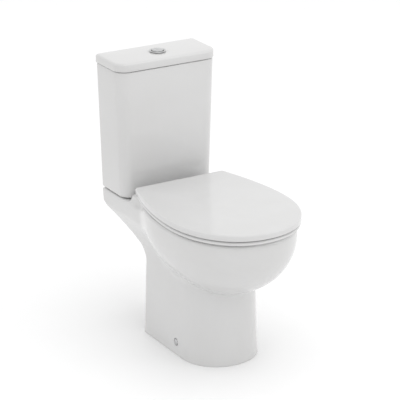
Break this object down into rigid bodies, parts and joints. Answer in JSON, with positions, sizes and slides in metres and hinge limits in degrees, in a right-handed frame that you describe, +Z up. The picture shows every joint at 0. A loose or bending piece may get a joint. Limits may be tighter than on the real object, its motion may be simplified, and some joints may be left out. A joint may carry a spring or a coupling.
{
  "type": "close coupled toilet",
  "caption": "Close coupled toilet: glazed pan with foot and cistern shelf, tapering cistern with lift-off lid and flush buttons, hinged seat ring and cover.",
  "frame": {"origin": "on the floor, at the middle of the width and of the overall depth", "axes": "+Z up, -Y out of the front of the bowl, +Y to the wall, +X to the right of someone facing the toilet"},
  "size_m": [0.372, 0.668, 0.792],
  "materials": {
    "ceramic": "high gloss white glaze over fine vitreous china",
    "seat_plastic": "hard thermoset, polished",
    "chrome": "bright plated",
    "steel": "zinc plated",
    "rubber": "matte black",
    "buffer_rubber": "soft white",
    "valve_plastic": "moulded",
    "valve_blue": "moulded",
    "nut_plastic": "moulded"
  },
  "bodies": {
    "pan_and_cistern": {"pan": "ceramic", "pan_foot": "ceramic", "pan_trap": "ceramic", "cistern": "ceramic", "doughnut_washer": "rubber", "cistern_pads": "rubber", "coupling_bolts": "steel", "coupling_rubber_washers": "rubber", "coupling_plate_washers": "steel", "coupling_wing_nuts": "nut_plastic", "flush_valve_base": "valve_plastic", "flush_valve_seal_washer": "rubber", "flush_valve_backnut": "nut_plastic", "flush_valve_tower": "valve_plastic", "fill_valve_body": "valve_plastic", "fill_valve_washer": "rubber", "fill_valve_backnut": "nut_plastic", "fill_valve_head": "valve_plastic", "lever_pin": "steel", "hinge_posts": "chrome", "hinge_washers": "buffer_rubber", "hinge_studs": "steel", "hinge_plate_washers": "steel", "hinge_wing_nuts": "nut_plastic", "floor_brackets": "nut_plastic", "side_screws": "steel", "side_screw_caps": "chrome"},
    "seat": {"seat_ring": "seat_plastic", "seat_buffers": "buffer_rubber", "seat_lugs": "chrome", "hinge_pins": "chrome"},
    "cover": {"seat_cover": "seat_plastic", "cover_buffers": "buffer_rubber", "cover_lugs": "chrome"},
    "lid": {"cistern_lid": "ceramic", "button_bezel": "chrome", "button_clamp_nut": "nut_plastic"},
    "full_button": {"full_flush_button": "chrome"},
    "half_button": {"half_flush_button": "chrome"},
    "plunger": {"flush_valve_plunger": "valve_blue", "flush_valve_seal": "rubber"},
    "float": {"float_cup": "valve_blue"},
    "lever": {"float_lever": "valve_blue"}
  },
  "joints": [
    {"name": "seat_hinge", "type": "hinge", "parent": "pan_and_cistern", "child": "seat", "pos_m": [0, 0.154, 0.427], "axis": [-1, 0, 0], "range_deg": [0, 92]},
    {"name": "cover_hinge", "type": "hinge", "parent": "seat", "child": "cover", "pos_m": [0, 0.154, 0.427], "axis": [1, 0, 0], "range_deg": [-92, 0]},
    {"name": "lid_lift", "type": "slide", "parent": "pan_and_cistern", "child": "lid", "axis": [0, 0, 1], "range_m": [0, 0.06]},
    {"name": "full_flush_press", "type": "slide", "parent": "lid", "child": "full_button", "axis": [0, 0, -1], "range_m": [0, 0.006], "stiffness_N_per_m": 1500, "springref_m": -0.004},
    {"name": "half_flush_press", "type": "slide", "parent": "lid", "child": "half_button", "axis": [0, 0, -1], "range_m": [0, 0.006], "stiffness_N_per_m": 1500, "springref_m": -0.004},
    {"name": "plunger_lift", "type": "slide", "parent": "pan_and_cistern", "child": "plunger", "axis": [0, 0, 1], "range_m": [0, 0.012]},
    {"name": "float_slide", "type": "slide", "parent": "pan_and_cistern", "child": "float", "axis": [0, 0, 1], "range_m": [0, 0.02]},
    {"name": "lever_swing", "type": "hinge", "parent": "pan_and_cistern", "child": "lever", "pos_m": [0.117, 0.259, 0.694], "axis": [0, 1, 0], "range_deg": [0, 29.1]}
  ],
  "couplings": [
    {"joint": "plunger_lift", "follows": "full_flush_press", "ratio": 2},
    {"joint": "lever_swing", "follows": "float_slide", "rad_per_m": 25.268}
  ]
}
